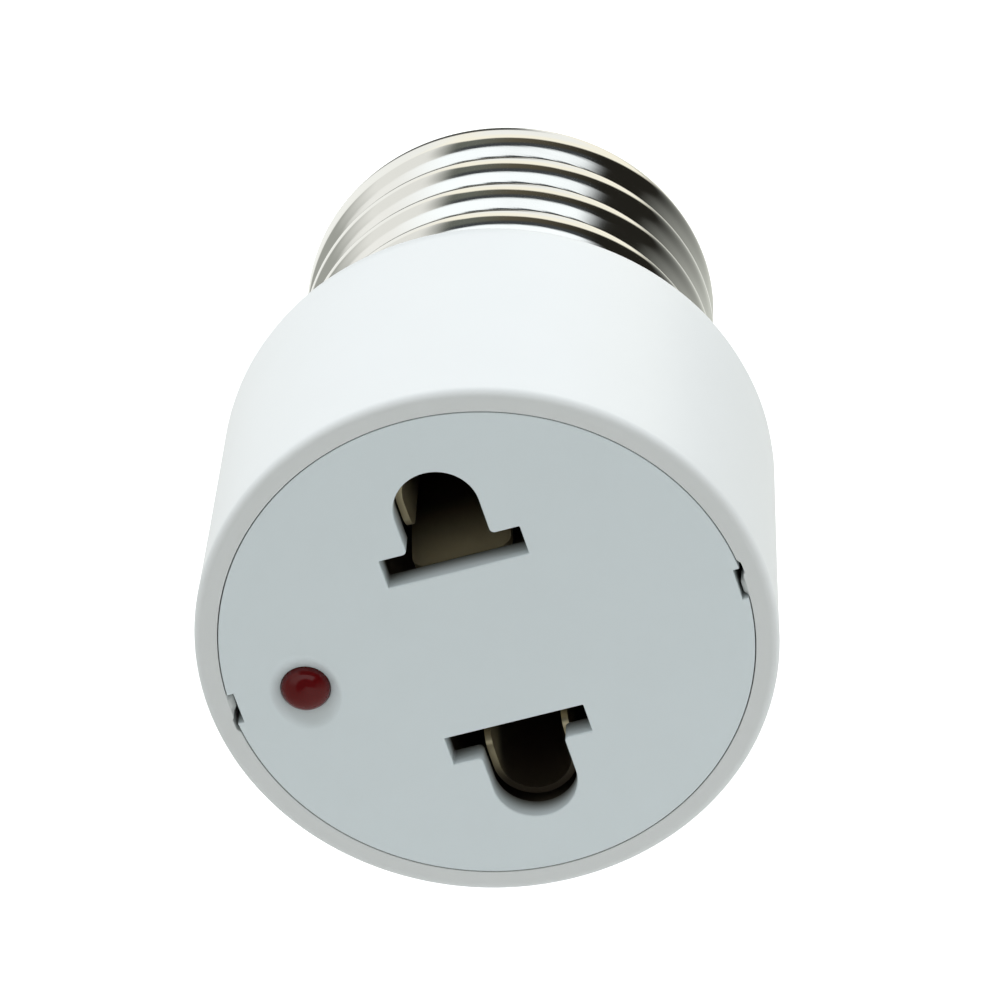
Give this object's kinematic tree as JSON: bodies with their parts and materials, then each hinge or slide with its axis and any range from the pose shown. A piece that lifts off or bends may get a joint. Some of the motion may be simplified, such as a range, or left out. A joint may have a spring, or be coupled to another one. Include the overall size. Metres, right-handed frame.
{
  "type": "lamp socket outlet adapter",
  "caption": "Screw-in lamp socket adapter with a round two-pin outlet face, an indicator light and a rolled screw shell.",
  "frame": {"origin": "centre of the plane where the rim of the screw shell stops against the back of the housing", "axes": "+Y along the screw axis towards the centre contact, so the outlet face looks towards -Y; +Z from the lower pin slot to the upper one; +X to the right as seen from the front"},
  "size_m": [0.0344, 0.0505, 0.0344],
  "materials": {
    "housing_plastic": "white moulded plastic with a soft sheen",
    "face_plastic": "cool grey-white moulded plastic, fine satin",
    "contact_brass": "stamped spring brass, slightly dulled",
    "red_lens": "deep red clear epoxy, glossy",
    "tinned_wire": "tinned wire",
    "sleeve_plastic": "cream insulating sleeve",
    "resistor_coating": "tan lacquer",
    "black_plastic": "black moulded phenolic plastic",
    "wire_insulation": "red insulation with bare tinned ends",
    "solder": "solder, dull silver",
    "plated_shell": "bright nickel plating"
  },
  "bodies": {
    "root": {"housing": "housing_plastic", "socket_face": "face_plastic", "upper_contact": "contact_brass", "lower_contact": "contact_brass", "indicator_led": "red_lens", "led_upper_lead": "tinned_wire", "led_lower_lead": "tinned_wire", "upper_lead_sleeve": "sleeve_plastic", "lower_lead_sleeve": "sleeve_plastic", "series_resistor": "resistor_coating", "resistor_front_lead": "tinned_wire", "resistor_rear_lead": "tinned_wire", "blocking_diode": "black_plastic", "diode_front_lead": "tinned_wire", "diode_rear_lead": "tinned_wire", "centre_wire": "wire_insulation", "shell_wire": "wire_insulation", "upper_tail_solder": "solder", "lower_tail_solder": "solder", "centre_solder": "solder", "screw_shell": "plated_shell", "cap_insulator": "black_plastic", "centre_contact": "plated_shell"}
  },
  "joints": []
}
